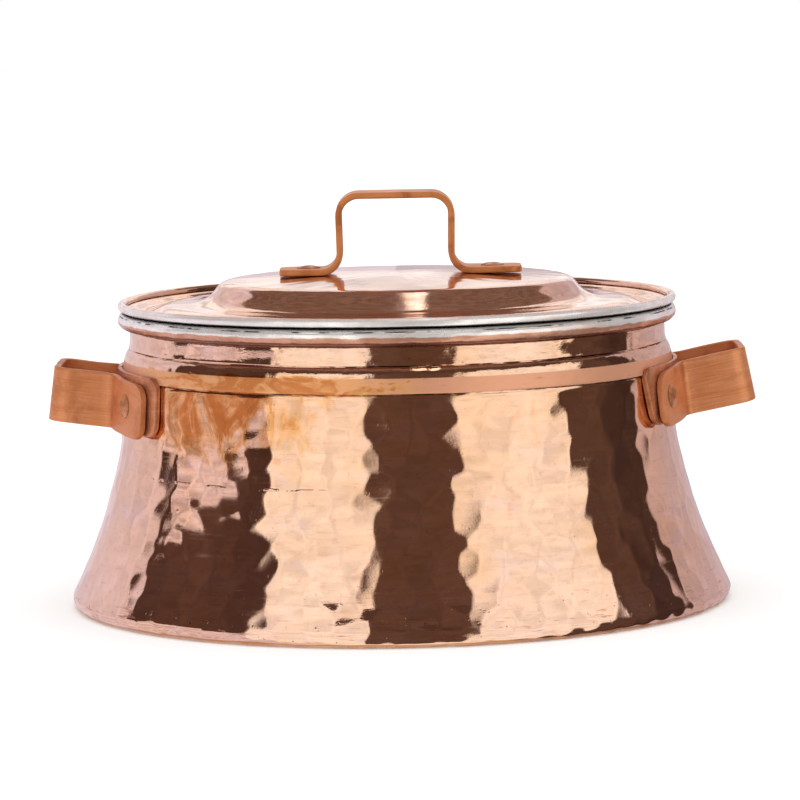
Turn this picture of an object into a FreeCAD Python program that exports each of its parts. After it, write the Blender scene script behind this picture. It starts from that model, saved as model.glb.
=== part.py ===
import FreeCAD, Part
import math
import os
from collections import namedtuple

# A hammered copper casserole with a domed lid, in millimetres.
# The origin is the centre of the flat base, +Z is up, and the two side handles lie on -X and +X.
# Every piece is one solid in one file. All sheet pieces are turned profiles around the Z axis.

VECTOR = FreeCAD.Vector
UP = VECTOR(0, 0, 1)
CENTRE = VECTOR(0, 0, 0)

# Pot shell
pot_sheet = 1.5            # copper sheet, tinned on the inside
rim_outer_radius = 120.0   # a casserole of 24 cm, measured over the rolled rim
rim_top_z = 127.1
rim_wire_radius = 2.0      # stiffening wire inside the rolled rim
wire_play = 0.05           # air between a wire and the sheet rolled around it
rim_curl_end_deg = -115.0  # where the sheet's cut edge stops, seen around the wire
base_corner_radius = 4.5
base_radius = 142.2        # widest point, just above the flat base

# Outer wall from the base corner up to the bands: (radius, height)
FLARE = [(141.9, 6.1), (135.4, 20.0), (128.5, 37.5), (123.0, 56.5), (119.2, 76.0), (117.9, 99.7)]
# Turned bands between the body and the rolled rim: (radius, height)
BANDS = [(118.5, 100.4), (117.7, 106.5), (116.0, 110.9), (115.3, 111.6), (115.2, 117.0)]

# Lid
lid_sheet = 1.2
lid_gap = 0.3              # the lid stands this much clear of the rim in the model
lid_outer_radius = 120.0
lid_wire_radius = 0.7      # wire inside the lid's rolled edge
lid_curl_end_deg = 190.0
plateau_top_z = 141.5
# Upper side of the lid, from the plateau's edge outwards: (radius, height)
SLOPE = [(71.5, 139.15), (75.6, 137.9), (78.6, 134.6), (82.6, 131.4), (92.5, 129.7)]
FLANGE = [(92.5, 129.7), (101.0, 128.6), (106.8, 126.5), (110.0, 126.7), (113.2, 128.6)]
lip_thickening = 0.3       # the sheet is this much wider where the flange meets the rolled edge

# Straps of flat copper bar
strap_width = 23.2
strap_thickness = 2.7
end_margin = 4.0               # short edges this near a strap's end belong to the end

# Lid handle, a bail of strap with two feet
lid_handle_top_z = 176.4
lid_foot_underside_z = 141.1
bail_half_width_top = 24.4     # leg centre line at the top
bail_half_width_bottom = 23.8  # the legs lean in a little towards the feet
bail_top_radius = 8.7
bail_foot_radius = 8.0
left_foot_reach = 50.0
right_foot_reach = 54.0
foot_corner_radius = 6.0
left_lid_rivet_x = -37.5
right_lid_rivet_x = 41.5

# Side handles, a loop of strap with two tabs that lie along the wall
# The two were bent by hand, so they differ a little. centre_z is the middle of the tabs. The loop
# rises outwards by tilt_deg, and reach is its farthest point from the axis, midway up the strap.
# The tabs lean by tab_tilt_deg and end at the azimuth tab_end_deg, from the handle's middle. The
# plate is plate_half_top and plate_half_bottom wide each way, and its lower edge stands off the wall.
HANDLE_FIELDS = ("centre_z tilt_deg reach tab_tilt_deg tab_end_deg"
                 " plate_half_top plate_half_bottom plate_stand_off")
SideHandle = namedtuple("SideHandle", HANDLE_FIELDS)
LEFT_HANDLE = SideHandle(90.2, 7.6, 148.3, 4.0, 29.8, 65.0, 64.5, 0.4)
RIGHT_HANDLE = SideHandle(91.0, 11.3, 150.8, 6.5, 26.6, 62.0, 55.0, 0.5)
tab_radius = 122.0             # curve of a tab's inner face
tab_standoff = 0.7             # air between a tab and its backing plate, midway up
tab_corner_radius = 7.0
leg_half_spacing = 21.0        # centre line of a leg, from the handle's middle
leg_bend_radius = 4.2
loop_corner_radius = 5.6
handle_rivet_azimuth_deg = 22.0
handle_rivet_z = 90.0

# Backing plates between the tabs and the wall
plate_thickness = 1.8
plate_standoff = 0.05
plate_bottom_z = 78.5
plate_top_z = 103.5
plate_corner_radius = 5.0
plate_blank_deg = 90.0         # the plate is cut from a curved sheet this wide
plate_cutter_length = 160.0    # reaches from the Z axis to beyond the plate

# Rivets
rivet_shank_radius = 2.4
rivet_play = 0.05
rivet_head_radius = 5.0
handle_rivet_head_height = 1.7
lid_rivet_head_height = 1.2
inner_head_radius = 4.4
inner_head_height = 1.0
rivet_edge_height = 0.3        # upright edge of a head, below its dome
seat_gap = 0.03                # air under a rivet head at its nearest point
drill_length = 30.0


def at(radius, height):
    """A point of a turned profile, which is drawn in the XZ plane."""
    return VECTOR(radius, 0, height)


def on_circle(centre, radius, angle_deg):
    angle = math.radians(angle_deg)
    return centre + VECTOR(radius * math.cos(angle), 0, radius * math.sin(angle))


def line(start, end):
    return Part.LineSegment(start, end).toShape()


def arc(start, middle, end):
    return Part.Arc(start, middle, end).toShape()


def arc_around(centre, radius, start_deg, end_deg):
    middle_deg = (start_deg + end_deg) / 2
    return arc(
        on_circle(centre, radius, start_deg),
        on_circle(centre, radius, middle_deg),
        on_circle(centre, radius, end_deg),
    )


def dome(top_z, edge):
    """Centre, radius and edge angle of the ball whose cap runs from top_z on the axis to the edge."""
    height = top_z - edge.z
    half_chord_squared = edge.x ** 2 + height ** 2
    radius = half_chord_squared / (2 * abs(height))
    centre = at(0, top_z - math.copysign(radius, height))
    return centre, radius, math.degrees(math.asin((edge.z - centre.z) / radius))


def polyline(points):
    return [line(start, end) for start, end in zip(points, points[1:])]


def curve_through(points):
    curve = Part.BSplineCurve()
    curve.interpolate(points)
    return curve


def inset_curve(points, distance):
    """The curve through the points, moved sideways: to the right of its run if distance is positive."""
    curve = curve_through(points)
    moved = []
    for point in points:
        tangent = curve.tangent(curve.parameter(point))[0]
        moved.append(point + VECTOR(tangent.z, 0, -tangent.x) * distance)
    return moved


def turned(edges):
    """A closed profile turned once around the Z axis, with its seam at the rear, clear of every hole."""
    face = Part.Face(Part.Wire(edges))
    face.rotate(CENTRE, UP, 90)
    return face.revolve(CENTRE, UP, 360)


def ring(radius, height, wire_radius):
    return Part.makeTorus(radius, wire_radius, at(0, height), UP)


# ---------------------------------------------------------------- pot

rim_roll_radius = pot_sheet + rim_wire_radius + wire_play
rim_wire_centre = at(rim_outer_radius - rim_roll_radius, rim_top_z - rim_roll_radius)


def make_pot_body():
    """Base, flared wall, bands and a rim rolled outwards over its wire, as one sheet."""
    roll_inner_radius = rim_wire_radius + wire_play
    neck_outer = rim_wire_centre.x - roll_inner_radius
    neck_inner = rim_wire_centre.x - rim_roll_radius
    flare = [at(*point) for point in FLARE]
    bands = [at(*point) for point in BANDS]
    corner_centre = at(base_radius - base_corner_radius, base_corner_radius)
    flare_foot = flare[0] - corner_centre
    corner_middle_deg = (math.degrees(math.atan2(flare_foot.z, flare_foot.x)) - 90) / 2
    corner_start = at(corner_centre.x, 0)
    neck_foot = at(neck_outer, rim_top_z - 2 * rim_roll_radius)

    outside = [
        line(CENTRE, corner_start),
        arc(corner_start, on_circle(corner_centre, base_corner_radius, corner_middle_deg), flare[0]),
        curve_through(flare).toShape(),
        *polyline([flare[-1], *bands, neck_foot, on_circle(rim_wire_centre, roll_inner_radius, 180)]),
        arc_around(rim_wire_centre, roll_inner_radius, 180, rim_curl_end_deg),
        line(
            on_circle(rim_wire_centre, roll_inner_radius, rim_curl_end_deg),
            on_circle(rim_wire_centre, rim_roll_radius, rim_curl_end_deg),
        ),
        arc_around(rim_wire_centre, rim_roll_radius, rim_curl_end_deg, 180),
    ]

    inner_flare = inset_curve(flare, -pot_sheet)
    inner_bands = [point - VECTOR(pot_sheet, 0, 0) for point in bands]
    floor_edge = at(corner_centre.x, pot_sheet)
    inner_corner_middle = on_circle(corner_centre, base_corner_radius - pot_sheet, corner_middle_deg)
    inside = [
        *polyline([
            on_circle(rim_wire_centre, rim_roll_radius, 180),
            at(neck_inner, neck_foot.z),
            *reversed(inner_bands),
            inner_flare[-1],
        ]),
        curve_through(inner_flare[::-1]).toShape(),
        arc(inner_flare[0], inner_corner_middle, floor_edge),
        line(floor_edge, at(0, pot_sheet)),
        line(at(0, pot_sheet), CENTRE),
    ]
    return turned(outside + inside)


# ---------------------------------------------------------------- lid

lid_roll_radius = lid_sheet + lid_wire_radius + wire_play
lid_wire_centre = at(lid_outer_radius - lid_roll_radius, rim_top_z + lid_gap + lid_roll_radius)


def make_lid():
    """Domed plateau, concave slope, flange with its locating groove, and an edge rolled upwards."""
    roll_inner_radius = lid_wire_radius + wire_play
    slope = [at(*point) for point in SLOPE]
    flange = [at(*point) for point in FLANGE]
    dome_centre, dome_radius, dome_edge_deg = dome(plateau_top_z, slope[0])
    rim_start_above = on_circle(lid_wire_centre, roll_inner_radius, -90)
    rim_start_below = on_circle(lid_wire_centre, lid_roll_radius, -90)

    below_slope = inset_curve(slope, lid_sheet)
    below_flange = inset_curve(flange, lid_sheet)
    crease_below = at((below_slope[-1].x + below_flange[0].x) / 2, below_slope[-1].z)
    below_slope[0] = on_circle(dome_centre, dome_radius - lid_sheet, dome_edge_deg)
    below_slope[-1] = crease_below
    below_flange[0] = crease_below
    below_flange[-1] = at(flange[-1].x + lip_thickening, rim_start_below.z)
    flange[-1] = at(flange[-1].x, rim_start_above.z)

    upper = [
        arc_around(dome_centre, dome_radius, 90, dome_edge_deg),
        curve_through(slope).toShape(),
        curve_through(flange).toShape(),
        line(flange[-1], rim_start_above),
        arc_around(lid_wire_centre, roll_inner_radius, -90, lid_curl_end_deg),
        line(
            on_circle(lid_wire_centre, roll_inner_radius, lid_curl_end_deg),
            on_circle(lid_wire_centre, lid_roll_radius, lid_curl_end_deg),
        ),
    ]
    lower = [
        arc_around(lid_wire_centre, lid_roll_radius, lid_curl_end_deg, -90),
        line(rim_start_below, below_flange[-1]),
        curve_through(below_flange[::-1]).toShape(),
        curve_through(below_slope[::-1]).toShape(),
        arc_around(dome_centre, dome_radius - lid_sheet, dome_edge_deg, 90),
        line(at(0, plateau_top_z - lid_sheet), at(0, plateau_top_z)),
    ]
    return turned(upper + lower)


# ---------------------------------------------------------------- straps

def strap_side(corners, radii, offset):
    """One side of a bent strip: straight runs joined by arcs, offset from the centre line."""
    directions = [(end - start).normalize() for start, end in zip(corners, corners[1:])]
    normals = [VECTOR(-direction.z, 0, direction.x) for direction in directions]
    edges = []
    position = corners[0] + normals[0] * offset
    for index, radius in enumerate(radii):
        before, after = directions[index], directions[index + 1]
        turn = before.x * after.z - before.z * after.x
        side = 1 if turn > 0 else -1
        half_turn = math.acos(max(-1.0, min(1.0, before.dot(after)))) / 2
        reach = radius * math.tan(half_turn)
        corner = corners[index + 1]
        centre = corner - before * reach + normals[index] * side * radius
        bend_start = centre - normals[index] * side * (radius - side * offset)
        bend_end = centre - normals[index + 1] * side * (radius - side * offset)
        outward = (corner - centre).normalize()
        edges.append(line(position, bend_start))
        edges.append(arc(bend_start, centre + outward * (radius - side * offset), bend_end))
        position = bend_end
    edges.append(line(position, corners[-1] + normals[-1] * offset))
    return edges


def end_points(edges):
    return edges[0].Vertexes[0].Point, edges[-1].Vertexes[-1].Point


def round_end_corners(solid, radius, is_end):
    """Round the short edges across the strap's thickness where is_end says yes to their middle."""
    chosen = []
    for edge in solid.Edges:
        middle = edge.valueAt((edge.FirstParameter + edge.LastParameter) / 2)
        if abs(edge.Length - strap_thickness) < 0.2 and is_end(middle):
            chosen.append(edge)
    return solid.makeFillet(radius, chosen)


def drill(foot, axis):
    start = foot - axis * (drill_length / 2)
    return Part.makeCylinder(rivet_shank_radius + rivet_play, drill_length, start, axis)


def drill_for_lid_rivets(solid):
    for rivet_x in (left_lid_rivet_x, right_lid_rivet_x):
        solid = solid.cut(drill(VECTOR(rivet_x, 0, lid_foot_underside_z), UP))
    return solid


def make_lid_handle():
    """A bail of flat bar, bent five ways, with a riveted foot at each end."""
    foot_z = lid_foot_underside_z + strap_thickness / 2
    top_z = lid_handle_top_z - strap_thickness / 2
    corners = [
        at(-left_foot_reach, foot_z),
        at(-bail_half_width_bottom, foot_z),
        at(-bail_half_width_top, top_z),
        at(bail_half_width_top, top_z),
        at(bail_half_width_bottom, foot_z),
        at(right_foot_reach, foot_z),
    ]
    radii = [bail_foot_radius, bail_top_radius, bail_top_radius, bail_foot_radius]
    upper = strap_side(corners, radii, strap_thickness / 2)
    lower = strap_side(corners, radii, -strap_thickness / 2)
    upper_ends, lower_ends = end_points(upper), end_points(lower)
    outline = [*upper, line(upper_ends[1], lower_ends[1]), *lower, line(lower_ends[0], upper_ends[0])]
    face = Part.Face(Part.Wire(Part.sortEdges(outline)[0]))
    face.translate(VECTOR(0, -strap_width / 2, 0))
    solid = face.extrude(VECTOR(0, strap_width, 0))
    end_x = min(left_foot_reach, right_foot_reach) - end_margin
    solid = round_end_corners(solid, foot_corner_radius, lambda middle: abs(middle.x) > end_x)
    return drill_for_lid_rivets(solid)


# ---------------------------------------------------------------- side handles

def loop_frame(tilt_deg):
    """Axes of a right-hand loop: outward along the loop, across it, and normal to its plane."""
    tilt = math.radians(tilt_deg)
    outward = VECTOR(math.cos(tilt), 0, math.sin(tilt))
    normal = VECTOR(-math.sin(tilt), 0, math.cos(tilt))
    return outward, VECTOR(0, 1, 0), normal


def wall_radius(height):
    """Outer radius of the body wall at a height, from its flare."""
    curve = curve_through([at(*point) for point in FLARE])
    cut = Part.LineSegment(at(100, height), at(160, height))
    return curve.intersect(cut)[0].X


def plate_inner_radius(handle, height):
    """Radius of the plate's inner face, a cone that lies close to the lowest band and the wall below."""
    low = wall_radius(plate_bottom_z) + handle.plate_stand_off
    high = BANDS[0][0] + plate_standoff
    share = (height - plate_bottom_z) / (plate_top_z - plate_bottom_z)
    return low + (high - low) * share


def loop_outline(handle, shift, half_width):
    """The closed outline of a side handle in its own plane, at half_width along the normal.

    The tabs are moved outwards by shift, which leans them against the loop's own tilt.
    """
    outward, across, normal = loop_frame(handle.tilt_deg)
    inner_face_x = plate_inner_radius(handle, handle.centre_z) + plate_thickness + tab_standoff
    origin = VECTOR(inner_face_x, 0, handle.centre_z) - outward * tab_radius
    loop_reach = (handle.reach - origin.x) / outward.x - strap_thickness / 2
    tab_line_radius = tab_radius + strap_thickness / 2

    def place(along, side):
        return origin + outward * along + across * side + normal * half_width

    def side_edges(offset):
        """From one tab's end around the loop to the other's. A positive offset is the loop's inside."""
        radius = tab_line_radius - offset
        bend = leg_bend_radius + offset
        corner = loop_corner_radius - offset
        bend_centre_side = leg_half_spacing + leg_bend_radius
        centre_distance = tab_line_radius + leg_bend_radius
        bend_centre_along = math.sqrt(centre_distance ** 2 - bend_centre_side ** 2)
        bend_angle = math.asin(bend_centre_side / centre_distance)
        end_angle = math.radians(handle.tab_end_deg)
        half = []

        def tab_point(angle):
            return (shift + radius * math.cos(angle), radius * math.sin(angle))

        def bend_point(angle):
            return (
                shift + bend_centre_along - bend * math.cos(angle),
                bend_centre_side - bend * math.sin(angle),
            )

        def corner_point(angle):
            return (
                loop_reach - loop_corner_radius + corner * math.sin(angle),
                leg_half_spacing - loop_corner_radius + corner * math.cos(angle),
            )

        quarter = math.pi / 2
        tab = [tab_point(end_angle), tab_point((end_angle + bend_angle) / 2), tab_point(bend_angle)]
        turn = [bend_point(bend_angle), bend_point((bend_angle + quarter) / 2), bend_point(quarter)]
        round_corner = [corner_point(0), corner_point(quarter / 2), corner_point(quarter)]
        for side in (1, -1):
            tab_arc, bend_arc, corner_arc = (
                [place(along, side * y) for along, y in points] for points in (tab, turn, round_corner)
            )
            half.append([
                arc(*tab_arc),
                arc(*bend_arc),
                line(bend_arc[2], corner_arc[0]),
                arc(*corner_arc),
            ])
        end_y = leg_half_spacing - loop_corner_radius
        end_along = loop_reach - loop_corner_radius + corner
        end = line(place(end_along, end_y), place(end_along, -end_y))
        tips = place(*tab[0]), place(tab[0][0], -tab[0][1])
        return [*half[0], end, *reversed(half[1])], tips

    inside, inside_tips = side_edges(strap_thickness / 2)
    outside, outside_tips = side_edges(-strap_thickness / 2)
    edges = [
        *inside,
        line(inside_tips[1], outside_tips[1]),
        *reversed(outside),
        line(outside_tips[0], inside_tips[0]),
    ]
    return Part.Wire(edges)


def rivet_place(handle):
    """Where a side handle's front rivet crosses the plate's outer face, and its outward axis."""
    azimuth = math.radians(handle_rivet_azimuth_deg)
    radius = plate_inner_radius(handle, handle_rivet_z) + plate_thickness
    lean = math.radians(handle.tab_tilt_deg)
    foot = VECTOR(radius * math.cos(azimuth), -radius * math.sin(azimuth), handle_rivet_z)
    axis = VECTOR(math.cos(azimuth) * math.cos(lean), -math.sin(azimuth) * math.cos(lean), math.sin(lean))
    return foot, axis


def make_side_handle(handle):
    """A right-hand loop with its two tabs, ruled between its lower and upper outlines."""
    half_width = strap_width / 2
    shift = half_width * math.tan(math.radians(handle.tilt_deg - handle.tab_tilt_deg))
    lower = loop_outline(handle, -shift, -half_width)
    upper = loop_outline(handle, shift, half_width)
    solid = Part.makeLoft([lower, upper], True, True)
    tab_end_y = tab_radius * math.sin(math.radians(handle.tab_end_deg)) - end_margin
    solid = round_end_corners(solid, tab_corner_radius, lambda middle: abs(middle.y) > tab_end_y)
    hole = rivet_hole(handle)
    return solid.cut(hole).cut(front_to_rear(hole))


def rivet_hole(handle):
    """The hole through tab, plate and wall for the front rivet of a right-hand handle."""
    return drill(*rivet_place(handle))


def front_to_rear(shape):
    return shape.mirror(CENTRE, VECTOR(0, 1, 0))


def right_to_left(shape):
    return shape.mirror(CENTRE, VECTOR(1, 0, 0))


def plate_outline(handle):
    """The plate seen along X: a trapezium with rounded corners, as a prism through the wall."""
    half = [
        VECTOR(0, handle.plate_half_bottom, plate_bottom_z),
        VECTOR(0, handle.plate_half_top, plate_top_z),
    ]
    corners = [half[0], half[1], front_to_rear_point(half[1]), front_to_rear_point(half[0]), half[0]]
    prism = Part.Face(Part.Wire(polyline(corners))).extrude(VECTOR(plate_cutter_length, 0, 0))
    long_edges = [edge for edge in prism.Edges if abs(edge.Length - plate_cutter_length) < 0.01]
    return prism.makeFillet(plate_corner_radius, long_edges)


def front_to_rear_point(point):
    return VECTOR(point.x, -point.y, point.z)


def make_handle_plate(handle):
    """A curved plate with rounded corners, two rivet holes, lying on the right-hand wall."""
    inner_low = plate_inner_radius(handle, plate_bottom_z)
    inner_high = plate_inner_radius(handle, plate_top_z)
    profile = polyline([
        at(inner_low, plate_bottom_z),
        at(inner_low + plate_thickness, plate_bottom_z),
        at(inner_high + plate_thickness, plate_top_z),
        at(inner_high, plate_top_z),
        at(inner_low, plate_bottom_z),
    ])
    face = Part.Face(Part.Wire(profile))
    face.rotate(CENTRE, UP, -plate_blank_deg / 2)
    solid = face.revolve(CENTRE, UP, plate_blank_deg).common(plate_outline(handle))
    hole = rivet_hole(handle)
    return solid.cut(hole).cut(front_to_rear(hole))


# ---------------------------------------------------------------- rivets

def rivet(outer_seat, inner_seat, head_height):
    """A rivet on the Z axis: a domed head above outer_seat, a flatter one below inner_seat."""
    outer_edge = at(rivet_head_radius, outer_seat + rivet_edge_height)
    inner_edge = at(inner_head_radius, inner_seat - rivet_edge_height)
    outer_centre, outer_radius, outer_edge_deg = dome(outer_seat + head_height, outer_edge)
    inner_centre, inner_radius, inner_edge_deg = dome(inner_seat - inner_head_height, inner_edge)
    profile = [
        arc_around(outer_centre, outer_radius, 90, outer_edge_deg),
        *polyline([
            outer_edge,
            at(rivet_head_radius, outer_seat),
            at(rivet_shank_radius, outer_seat),
            at(rivet_shank_radius, inner_seat),
            at(inner_head_radius, inner_seat),
            inner_edge,
        ]),
        arc_around(inner_centre, inner_radius, inner_edge_deg, -90),
        line(at(0, inner_seat - inner_head_height), at(0, outer_seat + head_height)),
    ]
    return turned(profile)


def make_handle_rivet(handle, loop, pot_body):
    """The front rivet of a right-hand handle, seated on the tab outside and on the wall inside."""
    foot, axis = rivet_place(handle)
    outer_seat = seat_height(loop, foot, axis, rivet_head_radius, 1)
    inner_seat = seat_height(pot_body, foot, axis, inner_head_radius, -1)
    solid = rivet(outer_seat + seat_gap, inner_seat - seat_gap, handle_rivet_head_height)
    solid.Placement = FreeCAD.Placement(foot, FreeCAD.Rotation(UP, axis))
    return solid


def make_lid_rivet(rivet_x, handle, lid):
    """A lid rivet, seated on the handle's foot above and on the lid's underside below."""
    foot = VECTOR(rivet_x, 0, lid_foot_underside_z)
    outer_seat = seat_height(handle, foot, UP, rivet_head_radius, 1)
    inner_seat = seat_height(lid, foot, UP, inner_head_radius, -1)
    solid = rivet(outer_seat + seat_gap, inner_seat - seat_gap, lid_rivet_head_height)
    solid.translate(foot)
    return solid


def seat_height(shape, foot, axis, head_radius, direction):
    """How far along the axis a head of this radius can come before it meets the shape."""
    reach = 12.0
    length = reach * 2
    disc = Part.makeCylinder(head_radius, length, CENTRE, UP)
    disc.translate(VECTOR(0, 0, -reach))
    disc.Placement = FreeCAD.Placement(foot, FreeCAD.Rotation(UP, axis)).multiply(disc.Placement)
    near = shape.common(disc)
    near.Placement = FreeCAD.Placement(foot, FreeCAD.Rotation(UP, axis)).inverse().multiply(near.Placement)
    box = near.optimalBoundingBox(True, False)
    return box.ZMax if direction > 0 else box.ZMin


# ---------------------------------------------------------------- assembly

def make_parts():
    parts = {}
    pot_body = make_pot_body()
    for handle in (LEFT_HANDLE, RIGHT_HANDLE):
        hole = rivet_hole(handle)
        if handle is LEFT_HANDLE:
            hole = right_to_left(hole)
        pot_body = pot_body.cut(hole).cut(front_to_rear(hole))
    parts["pot_body"] = pot_body
    parts["rim_wire"] = ring(rim_wire_centre.x, rim_wire_centre.z, rim_wire_radius)

    for side, handle in (("left", LEFT_HANDLE), ("right", RIGHT_HANDLE)):
        seat = right_to_left(pot_body) if side == "left" else pot_body
        loop = make_side_handle(handle)
        front_rivet = make_handle_rivet(handle, loop, seat)
        pieces = {
            side + "_handle": loop,
            side + "_handle_plate": make_handle_plate(handle),
            side + "_front_rivet": front_rivet,
            side + "_rear_rivet": front_to_rear(front_rivet),
        }
        for name, shape in pieces.items():
            parts[name] = right_to_left(shape) if side == "left" else shape

    lid = drill_for_lid_rivets(make_lid())
    parts["lid"] = lid
    parts["lid_edge_wire"] = ring(lid_wire_centre.x, lid_wire_centre.z, lid_wire_radius)
    parts["lid_handle"] = make_lid_handle()
    parts["lid_left_rivet"] = make_lid_rivet(left_lid_rivet_x, parts["lid_handle"], lid)
    parts["lid_right_rivet"] = make_lid_rivet(right_lid_rivet_x, parts["lid_handle"], lid)
    return parts


os.makedirs("parts", exist_ok=True)
for name, shape in make_parts().items():
    solid = shape if shape.ShapeType == "Solid" else shape.Solids[0]
    box = solid.BoundBox
    print(name, solid.isValid(), len(shape.Solids), round(solid.Volume / 1000, 2), "cm3",
          [round(value, 2) for value in (box.XMin, box.XMax, box.YMin, box.YMax, box.ZMin, box.ZMax)])
    solid.exportStep("parts/" + name + ".step")
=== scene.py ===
import math

import bpy
import numpy as np
from mathutils import Matrix, Vector


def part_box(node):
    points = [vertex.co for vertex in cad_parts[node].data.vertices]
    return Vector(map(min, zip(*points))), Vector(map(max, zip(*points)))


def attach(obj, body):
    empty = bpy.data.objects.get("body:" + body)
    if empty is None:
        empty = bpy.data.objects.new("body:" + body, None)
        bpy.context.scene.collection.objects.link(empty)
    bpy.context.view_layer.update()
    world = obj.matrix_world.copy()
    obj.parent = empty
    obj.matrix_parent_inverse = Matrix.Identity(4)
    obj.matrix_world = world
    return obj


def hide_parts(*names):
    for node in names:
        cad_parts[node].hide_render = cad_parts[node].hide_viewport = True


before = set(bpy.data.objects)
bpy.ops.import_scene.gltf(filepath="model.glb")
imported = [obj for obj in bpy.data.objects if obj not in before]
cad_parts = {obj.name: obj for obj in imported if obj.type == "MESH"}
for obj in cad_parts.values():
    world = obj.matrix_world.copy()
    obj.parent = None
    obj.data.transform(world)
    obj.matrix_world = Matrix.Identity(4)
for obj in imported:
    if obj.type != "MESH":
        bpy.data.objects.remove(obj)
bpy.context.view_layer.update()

# A hammered copper casserole with its lid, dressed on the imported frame.
# Shapes are worked out in millimetres, as in the CAD source, and turned into metres as meshes are made.

MM = 0.001
SEGMENTS = 600           # steps around the pot
LID_SEGMENTS = 480       # steps around the lid

pot_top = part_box("pot_body")[1].z / MM
base_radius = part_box("pot_body")[1].x / MM
lid_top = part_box("lid")[1].z / MM

# Pot shell, as in the CAD source
POT_SHEET = 1.5
RIM_RADIUS = 120.0       # outer radius of rim and lid
RIM_ROLL = 3.55          # outer radius of the rolled rim
RIM_CORE = 2.05          # inner radius of the roll, around its wire
RIM_CENTRE = (RIM_RADIUS - RIM_ROLL, pot_top - RIM_ROLL)
BASE_CORNER = 4.5
CORNER_CENTRE = (base_radius - BASE_CORNER, BASE_CORNER)
FLARE = [(base_radius - 0.3, 6.1), (135.4, 20.0), (128.5, 37.5), (123.0, 56.5), (119.2, 76.0), (117.9, 99.0)]

# Lid
LID_SHEET = 1.2
LID_ROLL = 1.95
LID_CORE = 0.75
LID_GAP = 0.3            # between rim and lid
LID_CENTRE = (RIM_RADIUS - LID_ROLL, pot_top + LID_GAP + LID_ROLL)
PLATEAU_EDGE = (71.5, lid_top - 2.35)
SLOPE = [PLATEAU_EDGE, (75.6, 137.9), (78.6, 134.6), (82.6, 131.4), (92.5, 129.7)]
FLANGE = [(92.5, 129.7), (101.0, 128.6), (106.8, 126.5), (110.0, 126.7), (113.2, 128.6)]

# Straps of flat copper bar
STRAP_HALF_WIDTH = 11.6
STRAP_HALF_THICKNESS = 1.35
STRAP_EDGE = 0.55        # rounding of the bar's long edges
END_ROUNDING = 0.35      # rounding of a bar's or plate's last edges

COPPER, TIN, RIM, BANDS, EDGE = range(5)   # material slots of the pot body
LID_COPPER, LID_TIN, LID_LIP, LID_LIP_INSIDE = range(4)   # and of the lid


# -------------------- curves

def spline(points, count):
    """A natural cubic spline through the points, read at evenly spaced places along its chords."""
    points = np.array(points, float)
    chord = run_lengths(points)
    step = np.diff(chord)
    size = len(points)
    matrix = np.zeros((size, size))
    right = np.zeros((size, 2))
    matrix[0, 0] = matrix[-1, -1] = 1
    for i in range(1, size - 1):
        matrix[i, i - 1:i + 2] = step[i - 1], 2 * (step[i - 1] + step[i]), step[i]
        right[i] = 6 * ((points[i + 1] - points[i]) / step[i] - (points[i] - points[i - 1]) / step[i - 1])
    bend = np.linalg.solve(matrix, right)
    made = []
    for place in np.linspace(0, chord[-1], count):
        i = min(int(np.searchsorted(chord, place, "right")) - 1, size - 2)
        a, b, h = chord[i + 1] - place, place - chord[i], step[i]
        made.append(
            bend[i] * a ** 3 / (6 * h) + bend[i + 1] * b ** 3 / (6 * h)
            + (points[i] / h - bend[i] * h / 6) * a + (points[i + 1] / h - bend[i + 1] * h / 6) * b
        )
    return [tuple(point) for point in made]


def run_lengths(points):
    """How far along the run each point lies."""
    return np.r_[0, np.cumsum(np.hypot(*np.diff(points, axis=0).T))]


def side_normals(points):
    """The unit vector to the right of the run at each point."""
    run = np.gradient(points, axis=0)
    run /= np.maximum(np.hypot(*run.T), 1e-9)[:, None]
    return np.stack([run[:, 1], -run[:, 0]], 1)


def offset(points, distance):
    """The same points moved sideways, to the right of their run if distance is positive."""
    points = np.array(points, float)
    return [tuple(p) for p in points + side_normals(points) * distance]


def profile_rows(*parts):
    """Radius, height, region, arc length and side normal of each row, from pairs of points and region."""
    points = np.array([point for part, _ in parts for point in part], float)
    region = np.array([kind for part, kind in parts for _ in part])
    return points[:, 0], points[:, 1], region, run_lengths(points), side_normals(points)


def circle(steps):
    return np.linspace(0, 2 * math.pi, steps, endpoint=False)


def around(centre, radius, degrees):
    return [
        (centre[0] + radius * math.cos(math.radians(d)), centre[1] + radius * math.sin(math.radians(d)))
        for d in degrees
    ]


def between(start, end, count):
    return [tuple(p) for p in np.linspace(start, end, count)]


# -------------------- meshes

def new_object(name, vertices, faces, materials):
    """An object of the faces, with its vertices in metres."""
    mesh = bpy.data.meshes.new(name)
    mesh.from_pydata([tuple(v) for v in vertices], [], faces)
    for material in materials:
        mesh.materials.append(material)
    made = bpy.data.objects.new(name, mesh)
    bpy.context.scene.collection.objects.link(made)
    return made


def smooth_skin(name, vertices, faces, material_of_face, materials):
    """An object of smooth faces, with its vertices in millimetres."""
    made = new_object(name, np.asarray(vertices) * MM, faces, materials)
    made.data.polygons.foreach_set("material_index", np.array(material_of_face, np.int32))
    made.data.polygons.foreach_set("use_smooth", np.ones(len(faces), bool))
    made.data.update()
    return made


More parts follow.
